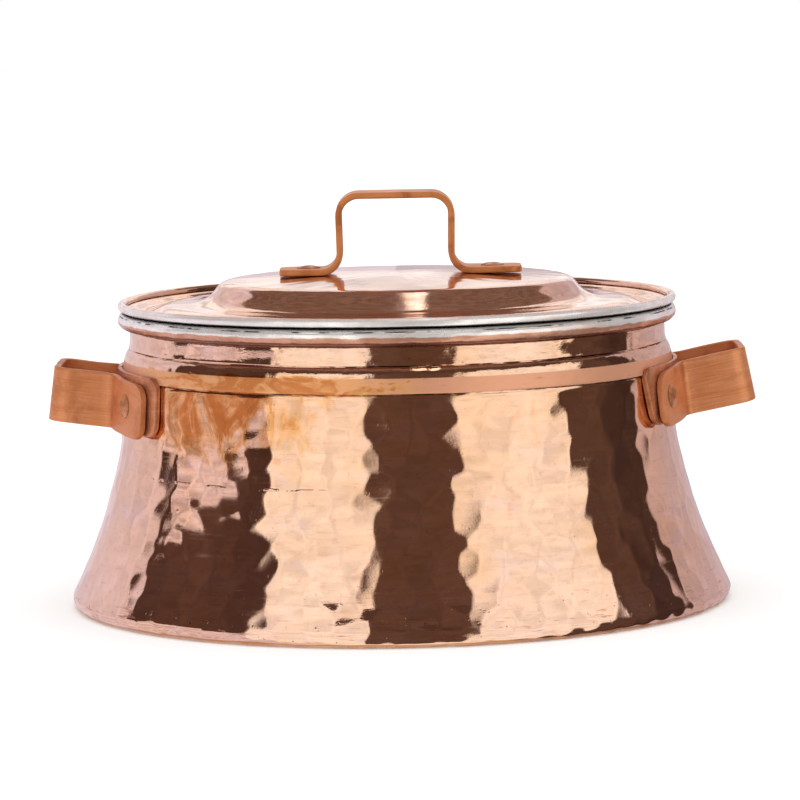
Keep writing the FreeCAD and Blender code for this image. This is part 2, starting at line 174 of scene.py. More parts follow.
def turned(name, radius, height, region, materials):
    """A closed skin around the Z axis. radius and height are rows by steps, and both ends meet the axis."""
    rows, steps = radius.shape
    angle = circle(steps)
    x, y = radius * np.sin(angle), -radius * np.cos(angle)
    vertices = np.stack([x, y, height], 2).reshape(-1, 3)
    faces, slots = [], []
    following = np.roll(np.arange(steps), -1)
    for row in range(rows - 1):
        low, high = row * steps, (row + 1) * steps
        for step in range(steps):
            faces.append((low + step, low + following[step], high + following[step], high + step))
        slots += [region[row]] * steps
    bottom, top = len(vertices), len(vertices) + 1
    vertices = np.vstack([vertices, [[0, 0, height[0].mean()], [0, 0, height[-1].mean()]]])
    last = (rows - 1) * steps
    for step in range(steps):
        faces.append((bottom, following[step], step))
        faces.append((top, last + step, last + following[step]))
        slots += [region[0], region[-1]]
    return smooth_skin(name, vertices, faces, slots, materials)


def lofted(name, rings, material, lengths=None):
    """A closed skin over rings of points, with flat ends. lengths are the rings' places along the bar."""
    count, size = rings.shape[:2]
    faces = []
    for ring in range(count - 1):
        near, far = ring * size, (ring + 1) * size
        for k in range(size):
            following = (k + 1) % size
            faces.append((near + k, near + following, far + following, far + k))
    faces.append(tuple(reversed(range(size))))
    faces.append(tuple((count - 1) * size + k for k in range(size)))
    made = smooth_skin(name, rings.reshape(-1, 3), faces, [0] * len(faces), [material])
    if lengths is not None:
        store_bar_map(made, lengths, size)
    return made


def store_bar_map(made, lengths, size):
    """A UV map in metres: along the bar, and around its section."""
    outline = 4 * (STRAP_HALF_WIDTH + STRAP_HALF_THICKNESS) * MM
    section = np.linspace(0, outline, size, endpoint=False)
    layer = made.data.uv_layers.new(name="bar")
    vertex = np.zeros(len(made.data.loops), np.int32)
    made.data.loops.foreach_get("vertex_index", vertex)
    coordinates = np.stack([np.array(lengths)[vertex // size] * MM, section[vertex % size]], 1)
    layer.data.foreach_set("uv", coordinates.astype(np.float32).ravel())


# -------------------- hammering

ROUND_LENGTH = 750       # about the length around the pot


def undulation(length, steps, seed, count, wave, height):
    """Slow random swells, whole around the axis. wave is their shortest and longest length."""
    random = np.random.RandomState(seed)
    angle = circle(steps)
    field = np.zeros((len(length), steps))
    for _ in range(count):
        around_waves = random.randint(int(ROUND_LENGTH / wave[1]), int(ROUND_LENGTH / wave[0]) + 1)
        along = random.uniform(-1, 1) * 2 * math.pi / wave[0]
        phase = random.uniform(0, 2 * math.pi)
        swell = np.cos(around_waves * angle[None, :] + along * length[:, None] + phase)
        field += swell * random.uniform(0.4, 1.0)
    return field * height / math.sqrt(count)


def hammer_blows(seed, first, last, spacing, radius, size):
    """Planishing blows in rows, each knocked out of line: place, angle, size, curve and two leans."""
    random = np.random.RandomState(seed)
    blows = []
    place = first
    while place < last:
        count = int(2 * math.pi * radius / spacing)
        start = random.uniform(0, 2 * math.pi)
        for k in range(count):
            blows.append((
                place + random.normal(0, spacing * 0.28),
                start + 2 * math.pi * (k + random.normal(0, 0.28)) / count,
                random.uniform(*size),
                random.uniform(0.9, 1.7),
                random.normal(0, 0.012),
                random.normal(0, 0.017),
            ))
        place += spacing * 0.9
    return blows


def hammered(length, radius, steps, blows, flatness_radius):
    """Depth of the surface, at most 0, under blows that each leave a nearly flat disc with a crisp edge."""
    field = np.zeros((len(length), steps))
    step_angle = 2 * math.pi / steps
    for place, angle, size, curve, lean_along, lean_around in blows:
        reach = size * 1.7
        rows = np.nonzero(np.abs(length - place) < reach)[0]
        if not len(rows):
            continue
        local_radius = radius[rows].mean()
        span = int(reach / (local_radius * step_angle)) + 1
        middle = int(round(angle / step_angle))
        columns = np.arange(middle - span, middle + span + 1)
        across = (columns * step_angle - angle)[None, :] * radius[rows][:, None]
        along = (length[rows] - place)[:, None]
        bow = curve / (2 * flatness_radius)
        depth = bow * (across ** 2 + along ** 2 - size ** 2) + lean_along * along + lean_around * across
        index = np.ix_(rows, columns % steps)
        field[index] = np.minimum(field[index], depth)
    return field


# -------------------- pot body

def pot_profile():
    """Rows from the middle of the base, up the outside, over the rim and down to the floor inside."""
    base = [(r, 0.0) for r in (2, 30, 62, 92, 116, 130, 135)]
    worn_corner = around(CORNER_CENTRE, BASE_CORNER, (-90, -80, -69, -58))
    corner = around(CORNER_CENTRE, BASE_CORNER, (-48, -36, -24, -12, 0, 10))
    wall = spline(FLARE, 74)
    bands = [
        (117.75, 99.5), (117.5, 99.85), (117.55, 100.15), (118.3, 100.35), (118.5, 100.7), (118.4, 101.6),
        (118.2, 103.2), (117.95, 105.0), (117.8, 106.1), (117.65, 106.7), (117.4, 107.7), (117.05, 108.7),
        (116.6, 109.6), (116.1, 110.4), (115.55, 111.0), (115.2, 111.3), (115.35, 111.55), (115.6, 111.75),
        (115.45, 112.2), (115.28, 112.8), (115.15, 113.6), (115.1, 115.5), (115.1, 117.2), (115.0, 118.4),
        (114.8, 119.3), (114.45, 120.1), (114.4, 121.8),
    ]
    roll_inside = around(RIM_CENTRE, RIM_CORE, np.linspace(180, -115, 6))
    roll_degrees = [-115, -112, -98, -82, -66, -50, -35, -21, -9, 2, 12, 19, 24, 27.5, 30,
                    32.5, 35, 40, 50, 64, 80, 105, 140, 180]
    roll = around(RIM_CENTRE, RIM_ROLL, roll_degrees)
    lining = [(114.4 - POT_SHEET, 120.0), (115.2 - POT_SHEET, 116.8), (115.3 - POT_SHEET, 111.8),
              (116.0 - POT_SHEET, 110.8), (117.7 - POT_SHEET, 106.5), (118.4 - POT_SHEET, 100.8)]
    inner_wall = spline(offset(FLARE, -POT_SHEET), 16)[:0:-1]
    floor_edge = around(CORNER_CENTRE, BASE_CORNER - POT_SHEET, (5, -20, -45, -70, -90))
    floor = [(r, POT_SHEET) for r in (130, 118, 92, 62, 30, 2)]
    return profile_rows(
        (base, EDGE), (worn_corner, EDGE), (corner, COPPER), (wall, COPPER), (bands, BANDS),
        (roll_inside, RIM), (roll, RIM), (lining, TIN), (inner_wall, TIN), (floor_edge, TIN), (floor, TIN))


def make_pot_body(materials):
    """The body: hammered wall, turned bands, uneven rolled rim, tinned inside."""
    radius, height, region, length, normal = pot_profile()
    wall, inner, rim, band = [region == kind for kind in (COPPER, TIN, RIM, BANDS)]
    start, end = length[wall][0], length[wall][-1]

    outer_blows = hammer_blows(11, start + 3, end - 2, 9.0, 124.0, (5.4, 8.4))
    depth = hammered(length, radius, SEGMENTS, outer_blows, 125.0)
    fade = np.clip((length - start) / 3, 0, 1) * np.clip((end - length) / 4, 0, 1) * wall
    swell = undulation(length, SEGMENTS, 5, 26, (34.0, 140.0), 0.09)
    move = depth * fade[:, None] + swell * fade[:, None]

    first_inside = length[inner][0]
    inner_blows = hammer_blows(12, first_inside, length[-1] - 20, 13.0, 118.0, (7.0, 10.0))
    move += hammered(length, radius, SEGMENTS, inner_blows, 160.0) * inner[:, None] * 0.7

    ripple = undulation(length, SEGMENTS, 7, 30, (6.0, 60.0), 0.05)
    move += ripple * (rim | band)[:, None]
    move += groove(height, rim & (normal[:, 0] > 0.3) & (radius > 118.5))
    corner_rows = (height < BASE_CORNER) & (radius > CORNER_CENTRE[0]) & (normal[:, 0] > 0)
    move += undulation(length * 0, SEGMENTS, 9, 30, (9.0, 90.0), 0.20) * corner_rows[:, None]

    radius_grid = radius[:, None] + move * normal[:, 0:1]
    height_grid = np.maximum(height[:, None] + move * normal[:, 1:2], 0.0)
    body = turned("hammered_pot_body", radius_grid, height_grid, region, materials)
    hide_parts("pot_body")
    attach(body, "pot")


def groove(height, rows):
    """A thin scored line that comes and goes around the rim."""
    angle = circle(SEGMENTS)
    strength = 0.5 + 0.5 * np.sin(5 * angle + 1.1) * np.sin(11 * angle + 0.4)
    distance = height - (pot_top - 1.75)
    shape = np.exp(-(distance / 0.2) ** 2) * rows
    return -0.22 * shape[:, None] * strength[None, :]


# -------------------- lid

def lid_profile():
    """Rows from the middle of the plateau, out over the edge, to the middle below."""
    rise = lid_top - PLATEAU_EDGE[1]
    ball = (PLATEAU_EDGE[0] ** 2 + rise ** 2) / (2 * rise)
    radii = np.linspace(2, PLATEAU_EDGE[0] - 1, 26)
    plateau = [(r, lid_top - ball + math.sqrt(ball ** 2 - r ** 2)) for r in radii]
    slope = spline(SLOPE, 26)
    flange = spline(FLANGE, 18)[1:]
    flange[-1] = (113.2, LID_CENTRE[1] - LID_CORE)
    lip_inside = around(LID_CENTRE, LID_CORE, np.linspace(-90, 190, 9))
    lip_inner = around(LID_CENTRE, LID_ROLL, np.linspace(190, 84, 9))
    lip = around(LID_CENTRE, LID_ROLL, np.linspace(72, -90, 15))
    below = [(r, z - LID_SHEET) for r, z in reversed(plateau[::2])]
    below_slope = offset(spline(SLOPE, 12), LID_SHEET)[::-1]
    below_flange = offset(spline(FLANGE, 9), LID_SHEET)[:0:-1]
    below_flange[0] = (113.5, LID_CENTRE[1] - LID_ROLL)
    return profile_rows(
        (plateau, LID_COPPER), (slope, LID_COPPER), (flange, LID_COPPER), (lip_inside, LID_LIP),
        (lip_inner, LID_LIP_INSIDE), (lip, LID_LIP),
        (below_flange, LID_TIN), (below_slope[:-1], LID_TIN), (below, LID_TIN))


def make_lid(materials):
    """The lid: a faintly planished plateau, slope and flange, and a tinned rolled edge."""
    radius, height, region, length, normal = lid_profile()
    top = region == LID_COPPER
    lip = (region == LID_LIP) | (region == LID_LIP_INSIDE)
    swell = undulation(length, LID_SEGMENTS, 21, 26, (22.0, 110.0), 0.05)
    centre_fade = np.clip(radius / 40, 0, 1) * np.clip((length[top][-1] - length) / 3, 0, 1)
    move = swell * (top * centre_fade)[:, None]
    move += undulation(length, LID_SEGMENTS, 22, 26, (7.0, 60.0), 0.04) * lip[:, None]
    radius_grid = radius[:, None] + move * normal[:, 0:1]
    height_grid = height[:, None] + move * normal[:, 1:2]
    lid = turned("copper_lid", radius_grid, height_grid, region, materials)
    lid.data.flip_normals()
    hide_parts("lid")
    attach(lid, "lid")


# -------------------- straps

def rounded_off(full, rounding, distance):
    """What is left of a full half width at this distance from an end with rounded corners."""
    missing = np.clip(rounding - distance, 0, None)
    return full - rounding + np.sqrt(rounding ** 2 - missing ** 2)


def bar_section(half_width, half_thickness):
    """The bar's outline as (across, out) points, with rounded corners."""
    edge = min(STRAP_EDGE, half_thickness * 0.8)
    points = []
    for side, (x, y) in enumerate(((1, 1), (-1, 1), (-1, -1), (1, -1))):
        centre = (x * (half_width - edge), y * (half_thickness - edge))
        points += around(centre, edge, [side * 90 + d for d in (0, 30, 60, 90)])
        if side % 2 == 0:
            end = (-x * (half_width - edge), y * half_thickness)
            points += between(points[-1], end, 9)[1:-1]
    return np.array(points)


class BarPath:
    """The centre line of a bent bar in its own plane: points and their normals."""

    def __init__(self):
        self.points = []
        self.normals = []

    def bend(self, centre, radius, start_deg, end_deg, outward):
        count = max(3, int(abs(end_deg - start_deg) * math.pi / 180 * radius / 1.3))
        for direction in np.array(around((0, 0), 1, np.linspace(start_deg, end_deg, count))):
            self.points.append(centre + direction * radius)
            self.normals.append(direction * outward)

    def run(self, start, end, normal, count):
        for point in between(start, end, count):
            self.points.append(np.array(point))
            self.normals.append(np.array(normal, float))

    def finished(self, end_radius):
        """Points, normals, lengths, half widths and half thicknesses, with close rings at both ends."""
        points = np.array(self.points)
        keep = np.r_[True, np.hypot(*np.diff(points, axis=0).T) > 0.05]
        points, normals = points[keep], np.array(self.normals)[keep]
        length = run_lengths(points)
        ends = [0, 0.12, 0.35, 0.7, 1.3, 2.2, 3.4, 4.8]
        middle = length[(length > 6) & (length < length[-1] - 6)]
        wanted = np.unique(np.r_[ends, middle, length[-1] - np.array(ends)])
        path, normal = [np.stack([np.interp(wanted, length, values[:, k]) for k in (0, 1)], 1)
                        for values in (points, normals)]
        normal /= np.hypot(*normal.T)[:, None]
        distance = np.minimum(wanted, wanted[-1] - wanted)
        half_width = rounded_off(STRAP_HALF_WIDTH, end_radius, distance)
        half_thickness = rounded_off(STRAP_HALF_THICKNESS, END_ROUNDING, distance)
        return path, normal, wanted, half_width, half_thickness


def bar_rings(path, normal, length, half_width, half_thickness, place, seed):
    """Sections of the bar along its path, each slightly uneven, put in space by place(point, across)."""
    random = np.random.RandomState(seed)
    limits = ((12, 45), (0, 6.28), (-0.07, 0.07))    # of a wave's length, phase and size
    waves = [[random.uniform(low, high) for low, high in limits] for _ in range(6)]
    rings = []
    for point, direction, at, width, thickness in zip(path, normal, length, half_width, half_thickness):
        uneven = sum(size * math.sin(2 * math.pi * at / wave + phase) for wave, phase, size in waves)
        section = bar_section(width + uneven, thickness)
        rings.append([place(point + direction * out, across + uneven * 0.3) for across, out in section])
    return np.array(rings)


def lid_handle_path():
    """Left foot, leg, top, leg and right foot, in the XZ plane."""
    low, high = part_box("lid_handle")
    foot_z = low.z / MM + STRAP_HALF_THICKNESS
    top_z = high.z / MM - STRAP_HALF_THICKNESS
    corners = [
        (low.x / MM, foot_z), (-23.8, foot_z), (-24.4, top_z),
        (24.4, top_z), (23.8, foot_z), (high.x / MM, foot_z),
    ]
    return rounded_path(corners, [8.0, 8.7, 8.7, 8.0])


def unit(vector):
    return vector / np.linalg.norm(vector)


def rounded_path(corners, radii):
    """Straight runs from corner to corner, with a bend of its own radius at each one between."""
    corners = [np.array(corner, float) for corner in corners]
    path = BarPath()
    start = corners[0]
    for before, corner, after, radius in zip(corners, corners[1:], corners[2:], radii):
        first, second = unit(corner - before), unit(after - corner)
        turn = first[0] * second[1] - first[1] * second[0]
        side = 1 if turn > 0 else -1
        reach = radius * math.tan(math.acos(float(first @ second)) / 2)
        normal = np.array([-first[1], first[0]])
        end = corner - first * reach
        centre = end + normal * side * radius
        path.run(start, end, normal, 8)
        spoke = end - centre
        start_deg = math.degrees(math.atan2(spoke[1], spoke[0]))
        swing = math.degrees(math.acos(float(first @ second))) * side
        path.bend(centre, radius, start_deg, start_deg + swing, -side)
        start = corner + second * reach
    final = unit(corners[-1] - corners[-2])
    path.run(start, corners[-1], (-final[1], final[0]), 8)
    return path


def make_lid_handle(material):
    path, normal, length, width, thickness = lid_handle_path().finished(6.0)
    rings = bar_rings(
        path, normal, length, width, thickness,
        lambda point, across: (point[0], across, point[1]), 31)
    handle = lofted("lid_bail_handle", rings, material, length)
    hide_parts("lid_handle")
    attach(handle, "lid")


# Each side handle: tab middle height, loop tilt, reach, tab tilt, tab end azimuth, plate half widths at
# the top and bottom, and how far the plate's lower edge stands off the wall
SIDE_HANDLES = {
    "left": (90.2, 7.6, 148.3, 4.0, 29.8, 65.0, 64.5, 0.4),
    "right": (91.0, 11.3, 150.8, 6.5, 26.6, 62.0, 55.0, 0.5),
}
TAB_RADIUS = 122.0
LEG_HALF_SPACING = 21.0
LEG_BEND = 4.2
LOOP_CORNER = 5.6
PLATE_THICKNESS = 1.8
PLATE_BOTTOM, PLATE_TOP = 78.5, 103.5
PLATE_CORNER = 5.0
WALL_AT_PLATE_BOTTOM = 119.0
PLATE_TOP_RADIUS = 118.55
WALL_TOP = 100.2          # where the lowest band begins


def plate_inner_radius(side, height):
    low = WALL_AT_PLATE_BOTTOM + SIDE_HANDLES[side][7]
    share = (height - PLATE_BOTTOM) / (PLATE_TOP - PLATE_BOTTOM)
    return low + (PLATE_TOP_RADIUS - low) * share


def side_handle_path(side):
    """One half of the loop and then the other, in the loop's own plane."""
    middle_z, tilt_deg, reach, _, tab_end, _, _, _ = SIDE_HANDLES[side]
    tilt = math.radians(tilt_deg)
    inner_face = plate_inner_radius(side, middle_z) + PLATE_THICKNESS + 0.7
    origin_x = inner_face - math.cos(tilt) * TAB_RADIUS
    loop_reach = (reach - origin_x) / math.cos(tilt) - STRAP_HALF_THICKNESS
    tab_line = TAB_RADIUS + STRAP_HALF_THICKNESS
    bend_side = LEG_HALF_SPACING + LEG_BEND
    bend_along = math.sqrt((tab_line + LEG_BEND) ** 2 - bend_side ** 2)
    bend_deg = math.degrees(math.asin(bend_side / (tab_line + LEG_BEND)))
    corner = (loop_reach - LOOP_CORNER, LEG_HALF_SPACING - LOOP_CORNER)

    path = BarPath()
    path.bend((0, 0), tab_line, tab_end, bend_deg, 1)
    path.bend((bend_along, bend_side), LEG_BEND, 180 + bend_deg, 270, -1)
    path.run((bend_along, LEG_HALF_SPACING), (corner[0], LEG_HALF_SPACING), (0, 1), 7)
    path.bend(corner, LOOP_CORNER, 90, 0, 1)
    path.run((loop_reach, corner[1]), (loop_reach, -corner[1]), (1, 0), 12)
    path.bend((corner[0], -corner[1]), LOOP_CORNER, 0, -90, 1)
    path.run((corner[0], -LEG_HALF_SPACING), (bend_along, -LEG_HALF_SPACING), (0, -1), 7)
    path.bend((bend_along, -bend_side), LEG_BEND, 90, 180 - bend_deg, -1)
    path.bend((0, 0), tab_line, -bend_deg, -tab_end, 1)
    return path, origin_x, (bend_along, corner[0])


def make_side_handle(side, material, seed):
    """A loop bent from one bar, whose plane tilts upwards and whose tabs tilt less."""
    centre_z, tilt_deg, _, tab_tilt_deg, _, _, _, _ = SIDE_HANDLES[side]
    tilt = math.radians(tilt_deg)
    shear = math.tan(math.radians(tilt_deg - tab_tilt_deg))
    sign = -1 if side == "left" else 1
    bar, origin_x, legs = side_handle_path(side)
    origin = np.array([origin_x, 0, centre_z - math.sin(tilt) * TAB_RADIUS])
    outward = np.array([math.cos(tilt), 0, math.sin(tilt)])
    normal_3d = np.array([-math.sin(tilt), 0, math.cos(tilt)])

    def place(point, across):
        lean = shear * min(max((legs[1] - point[0]) / (legs[1] - legs[0]), 0), 1)
        spot = origin + outward * (point[0] + lean * across) + normal_3d * across
        return (sign * spot[0], point[1], spot[2])

    path, normal, length, width, thickness = bar.finished(7.0)
    rings = bar_rings(path, normal, length, width, thickness, place, seed)
    handle = lofted(side + "_loop_handle", rings, material, length)
    if side == "right":
        handle.data.flip_normals()
    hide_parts(side + "_handle")
    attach(handle, "pot")


def make_plate(side, material):
    """The backing plate: a curved trapezium with rounded corners and edges."""
    _, _, _, _, _, half_top, half_bottom, _ = SIDE_HANDLES[side]
    sign = -1 if side == "left" else 1
    near = np.array([0, 0.1, 0.35, 0.8, 1.5, 2.4, 3.5, 5.0])
    tall = PLATE_TOP - PLATE_BOTTOM
    wall = np.array(spline(FLARE, 60))
    places = np.r_[near, np.linspace(7, tall - 7, 7), (tall - near)[::-1]]
    rings = []
    for place in places:
        height = PLATE_BOTTOM + place
        distance = min(place, tall - place)
        flat = half_bottom + (half_top - half_bottom) * place / tall
        inner = PLATE_TOP_RADIUS
        if height < WALL_TOP:
            inner = np.interp(height, wall[:, 1], wall[:, 0]) + 0.1
        outer = plate_inner_radius(side, height) + PLATE_THICKNESS
        thickness = rounded_off((outer - inner) / 2, END_ROUNDING, distance)
        middle = (outer + inner) / 2
        ring = []
        for across, out in plate_section(rounded_off(flat, PLATE_CORNER, distance), thickness):
            azimuth = math.asin(max(-1, min(1, across / middle)))
            radius = middle + out
            ring.append((sign * radius * math.cos(azimuth), radius * math.sin(azimuth), height))
        rings.append(ring)
    plate = lofted(side + "_backing_plate", np.array(rings), material)
    if side == "left":
        plate.data.flip_normals()
    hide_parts(side + "_handle_plate")
    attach(plate, "pot")


def plate_section(half, thickness):
    """Points around the plate's section: along the outer face, around an edge, and back."""
    edge = min(0.4, thickness * 0.9)
    points = []
    for side in (1, -1):
        faces = np.linspace(-side * (half - edge), side * (half - edge), 25)
        points += [(across, side * thickness) for across in faces]
        corner = [(half - edge * 0.3, thickness - edge * 0.3), (half, thickness - edge)]
        corner += [(x, -y) for x, y in reversed(corner)]
        points += [(side * x, side * y) for x, y in corner]
    return points


# -------------------- shader nodes

class Value:
    """The output of a shader node. Arithmetic and the methods below add nodes that work on it."""

    def __init__(self, socket):
        self.socket = socket

    def node(self, kind, inputs, output=0, **settings):
        """One output of a new node in the same tree."""
        return Value(new_node(self.socket.id_data, kind, inputs, **settings).outputs[output])

    def math(self, operation, *others, clamp=False):
        return self.node("Math", dict(enumerate((self, *others))), operation=operation, use_clamp=clamp)

    def __add__(self, other):
        return self.math("ADD", other)

    def __sub__(self, other):
        return self.math("SUBTRACT", other)

    def __mul__(self, other):
        return self.math("MULTIPLY", other)

    def step(self, low, high, out_low=0.0, out_high=1.0):
        """out_low where this is at low or beyond, out_high where it is at high, and smooth between them."""
        inputs = {"Value": self, "From Min": low, "From Max": high, "To Min": out_low, "To Max": out_high}
        return self.node("MapRange", inputs, interpolation_type="SMOOTHSTEP")

    def blend(self, first, second):
        """The first colour where this is 0, and the second where it is 1."""
        return self.node("Mix", {"Factor": self, "A": first, "B": second}, "Result", data_type="RGBA")

    def stretched(self, scale, turn=(0.0, 0.0, 0.0)):
        return self.node("Mapping", {"Vector": self, "Scale": scale, "Rotation": turn})

    def noise(self, scale, detail=3.0, roughness=0.55, distortion=0.0):
        inputs = {"Vector": self, "Scale": scale, "Detail": detail, "Roughness": roughness,
                  "Distortion": distortion}
        return self.node("TexNoise", inputs, "Fac")

    def bump(self, distance, below=None):
        """The normal where this is a height, over the normal below it."""
        inputs = {"Height": self, "Distance": distance, "Strength": 1.0}
        if below is not None:
            inputs["Normal"] = below
        return self.node("Bump", inputs)


def new_node(tree, kind, inputs, **settings):
    node = tree.nodes.new("ShaderNode" + kind)
    for setting, value in settings.items():
        setattr(node, setting, value)
    for name, value in inputs.items():
        put(value, node.inputs[name])
    return node


def put(value, socket):
    """Sets a socket from a Value, a number, a colour or a vector."""
    if isinstance(value, Value):
        socket.id_data.links.new(value.socket, socket)
    elif socket.type == "RGBA":
        socket.default_value = (*value, 1.0)
    else:
        socket.default_value = value


def shaded(name, kind, inputs):
    """A new material with one shader: the material, the shader's node and the position on the object."""
    material = bpy.data.materials.new(name)
    material.use_nodes = True
    tree = material.node_tree
    tree.nodes.clear()
    shader = new_node(tree, kind, inputs)
    new_node(tree, "OutputMaterial", {0: Value(shader.outputs[0])})
    return material, shader, Value(new_node(tree, "TexCoord", {}).outputs["Object"])


def metal(name, metallic=1.0, specular=0.5):
    return shaded(name, "BsdfPrincipled", {"Metallic": metallic, "Specular IOR Level": specular})


def finish_metal(shader, colour, roughness, normal):
    for name, value in (("Base Color", colour), ("Roughness", roughness), ("Normal", normal)):
        put(value, shader.inputs[name])


MAP_RADIUS = 0.12        # metres around the pot for each radian


def around_pot(position):
    """Azimuth from -Y towards +X in radians, height, and a vector of (length around, height, 0)."""
    tree = position.socket.id_data
    x, y, height = [Value(part) for part in new_node(tree, "SeparateXYZ", {0: position}).outputs]
    azimuth = x.math("ARCTAN2", y * -1.0)
    return azimuth, height, height.node("CombineXYZ", {0: azimuth * MAP_RADIUS, 1: height})


# -------------------- materials

POLISHED = (0.93, 0.632, 0.452)
POLISHED_WARM = (0.90, 0.56, 0.345)
POLISHED_PINK = (0.90, 0.63, 0.52)
POLISHED_FINE = (0.86, 0.52, 0.36)
PATINA = (0.60, 0.20, 0.050)
PATINA_PALE = (0.84, 0.42, 0.16)
# Near-black painted shade, for the lines in the bands' grooves and under the rolled rim
GROOVE_SHADE = (0.085, 0.040, 0.028)
BROWN = (0.30, 0.11, 0.055)
ORANGE_EDGE = (0.62, 0.27, 0.10)


def spot_mask(azimuth, height, middle_deg, middle_mm, wide_deg, tall_mm):
    """1 in the middle of an oval patch on the wall, falling to 0 at its edge."""
    across = (azimuth - math.radians(middle_deg)).math("DIVIDE", math.radians(wide_deg))
    up = (height - middle_mm * MM).math("DIVIDE", tall_mm * MM)
    return (across * across + up * up).math("MULTIPLY_ADD", -1.0, 1.0, clamp=True)


def copper_colour(position):
    """Polished copper that drifts between pink, salmon and warm yellow."""
    drift = position.noise(26.0, 4.0)
    warm = drift.step(0.42, 0.68).blend(POLISHED, POLISHED_WARM)
    other = position.stretched((1.0, 1.0, 2.2)).noise(45.0)
    drifted = other.step(0.48, 0.72).blend(warm, POLISHED_PINK)
    fine = position.stretched((1.0, 1.0, 1.6)).noise(260.0, 4.0, 0.6)
    return fine.step(0.50, 0.70, 0.0, 0.75).blend(drifted, POLISHED_FINE)


def pit_mask(position, scale):
    return position.noise(scale, 2.0, 0.5).step(0.68, 0.76)


def scratch_height(position, turn):
    """Fine scratches of several directions."""
    first = position.stretched((1.0, 30.0, 30.0), (0.0, 0.0, turn)).noise(60.0, 2.0)
    second = position.stretched((30.0, 1.5, 30.0), (0.0, 0.4, turn)).noise(50.0, 2.0)
    return first + second * 0.6


def heat_colour(lie, colour, patch, strength=1.0, squash=0.6):
    """Colour with heat stains laid over it where patch is above 0, and how dense they are."""
    dense = patch * 0.26 + lie.stretched((1.0, squash, 1.0)).noise(62.0, 5.0, 0.62, 1.6)
    inside = patch.step(0.0, 0.25) * strength
    colour = (dense.step(0.52, 0.74) * inside * 0.9).blend(colour, PATINA_PALE)
    deep = dense.step(0.66, 0.86) * inside
    return deep.blend(colour, PATINA), deep


def dark_line(lie, height, middle, half_width, low, high):
    """A thin line at one height that wavers, and breaks off where its noise is low. Blended dark, it is
    painted shade in grooves and gaps; bumped, it is a crease.
    """
    place = lie.noise(60.0, 4.0) * 0.0005 + (middle - 0.00025)
    on_line = (height - place).math("ABSOLUTE").step(half_width, half_width * 0.4)
    return on_line * lie.noise(85.0).step(low, high)


def hammered_copper():
    """The pot's wall: mirror polish, heat colours at the upper left, scratches, a crease and pits."""
    material, shader, position = metal("hammered_copper_wall")
    azimuth, height, lie = around_pot(position)
    colour = copper_colour(position)
    colour = height.step(0.045, 0.095, 0.0, 0.45).blend(colour, POLISHED_WARM)
    colour = height.step(0.040, 0.008, 0.0, 0.35).blend(colour, POLISHED_PINK)

    colour, heat = heat_colour(lie, colour, spot_mask(azimuth, height, -40, 93, 30, 29))
    colour, _ = heat_colour(lie, colour, spot_mask(azimuth, height, 24, 88, 10, 18) * 0.35, 0.5)

    low = height.step(0.024, 0.004)
    pits = pit_mask(position, 420.0) * (low * 0.6 + 0.15)
    colour = pits.blend(colour, BROWN)
    scuff = lie.stretched((1.0, 9.0, 1.0)).noise(75.0, 4.0, 0.65)
    scuff = scuff.step(0.56, 0.70) * (low * 0.6 + 0.22)
    colour = scuff.blend(colour, (0.58, 0.24, 0.13))
    border = lie.noise(45.0, 4.0) * 0.0022 + 0.0004
    worn = (height - border).step(0.0005, 0.0)
    colour = worn.blend(colour, ORANGE_EDGE)

    streak = lie.stretched((1.0, 24.0, 1.0)).noise(30.0)
    gloss = streak.step(0.50, 0.78, 0.035, 0.13) + position.noise(34.0).step(0.45, 0.75, 0.0, 0.06)
    for mark, amount in ((heat, 0.10), (scuff, 0.20), (worn, 0.30)):
        gloss = mark * amount + gloss

    fine = scratch_height(position, 0.5).bump(0.000007)
    soft = position.noise(160.0).bump(0.000016, fine)
    dents = (pits * -1.0).bump(0.00005, soft)
    crease = dark_line(lie, height, 0.0615, 0.0006, 0.50, 0.56) * spot_mask(azimuth, height, -38, 61, 26, 30)
    finish_metal(shader, colour, gloss, crease.bump(0.0004, dents))
    return material


def banded_copper():
    """Turned bands: the lowest is brushed dull, with heat colours on the left, the others are polished."""
    material, shader, position = metal("turned_copper_bands")
    azimuth, height, lie = around_pot(position)
    dull = height.step(0.1003, 0.1006) * height.step(0.1070, 0.1064)
    colour = dull.blend(copper_colour(position), (0.76, 0.365, 0.215))
    patch = spot_mask(azimuth, height, -31, 104, 38, 40) * height.step(0.1085, 0.1064, 0.0, 1.25)
    colour, _ = heat_colour(lie, colour, patch, 1.0, 2.4)
    crease = lie.stretched((1.0, 6.0, 1.0)).noise(120.0)
    colour = crease.step(0.62, 0.75, 0.0, 0.5).blend(colour, BROWN)
    # Painted shade: dark lines in the groove under the neck, the groove where the wall meets the lowest
    # band, and the recess under the rolled rim
    for middle, half_width, low, high in ((0.1114, 0.00045, 0.42, 0.56), (0.1001, 0.00045, 0.40, 0.58),
                                          (0.1203, 0.0009, 0.32, 0.50)):
        colour = dark_line(lie, height, middle, half_width, low, high).blend(colour, GROOVE_SHADE)
    streak = lie.stretched((1.0, 40.0, 1.0)).noise(40.0)
    gloss = streak.step(0.40, 0.78, 0.04, 0.13) + dull * 0.36
    put(dull * -0.5 + 1.0, shader.inputs["Metallic"])
    lines = lie.stretched((1.0, 60.0, 1.0)).noise(40.0, 2.0)
    chatter = lie.stretched((1.0, 3.0, 1.0)).noise(190.0, 3.0, 0.6)
    finish_metal(shader, colour, gloss, lines.bump(0.00001, chatter.bump(0.00007)))
    return material


